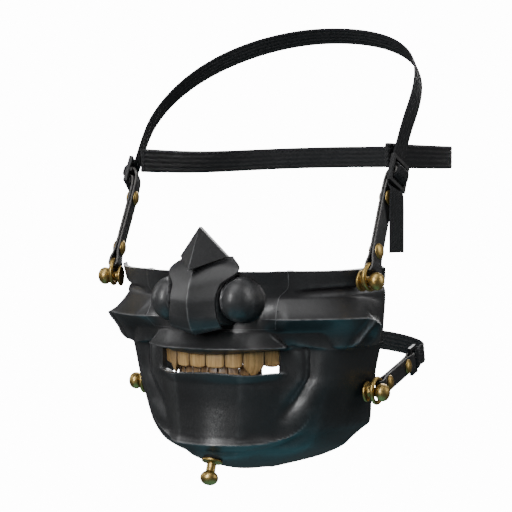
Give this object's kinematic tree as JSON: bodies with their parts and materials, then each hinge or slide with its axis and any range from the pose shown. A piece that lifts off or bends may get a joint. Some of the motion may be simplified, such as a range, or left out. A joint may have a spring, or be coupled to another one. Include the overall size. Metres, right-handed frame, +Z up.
{
  "type": "samurai face guard",
  "caption": "Lacquered half mask with ridged nose, teeth and fangs, worn on leather tabs and webbing straps with slide buckles and brass studs.",
  "frame": {"origin": "midway between the two upper back corners of the mask, where the face sits", "axes": "-Y is the way the mask faces, +X its right side as seen from the front, +Z up"},
  "size_m": [0.1782, 0.2588, 0.2619],
  "materials": {
    "lacquer": "satin black lacquer",
    "brass": "polished, a little tarnished",
    "tooth": "golden tan with a fine vertical grain",
    "lower_tooth": "darker brown with a fine vertical grain",
    "leather": "smooth black with paler cut edges",
    "webbing": "black woven tape",
    "buckle": "black moulded"
  },
  "bodies": {
    "root": {"face_shell": "lacquer", "nose_piece": "lacquer", "nose_band": "lacquer", "nose_crest": "lacquer", "upper_tooth_left_1": "tooth", "upper_tooth_left_2": "tooth", "upper_tooth_left_4": "tooth", "fang_left": "tooth", "lower_tooth_left_1": "lower_tooth", "lower_tooth_left_2": "lower_tooth", "lower_tooth_left_3": "lower_tooth", "lower_tooth_left_4": "lower_tooth", "lower_tooth_left_5": "lower_tooth", "stud_top_left": "brass", "stud_low_left": "brass", "ring_top_left": "brass", "ring_low_left": "brass", "tab_top_left": "leather", "tab_low_left": "leather", "rivet_top_left_1": "brass", "rivet_top_left_2": "brass", "rivet_low_left_1": "brass", "rivet_low_left_2": "brass", "buckle_left": "buckle", "neck_frame_left": "buckle", "upper_tooth_right_1": "tooth", "upper_tooth_right_2": "tooth", "upper_tooth_right_4": "tooth", "fang_right": "tooth", "lower_tooth_right_1": "lower_tooth", "lower_tooth_right_2": "lower_tooth", "lower_tooth_right_3": "lower_tooth", "lower_tooth_right_4": "lower_tooth", "lower_tooth_right_5": "lower_tooth", "stud_top_right": "brass", "stud_low_right": "brass", "ring_top_right": "brass", "ring_low_right": "brass", "tab_top_right": "leather", "tab_low_right": "leather", "rivet_top_right_1": "brass", "rivet_top_right_2": "brass", "rivet_low_right_1": "brass", "rivet_low_right_2": "brass", "buckle_right": "buckle", "neck_frame_right": "buckle", "stud_chin": "brass", "crown_strap": "webbing", "back_strap": "webbing", "neck_strap": "webbing"}
  },
  "joints": []
}
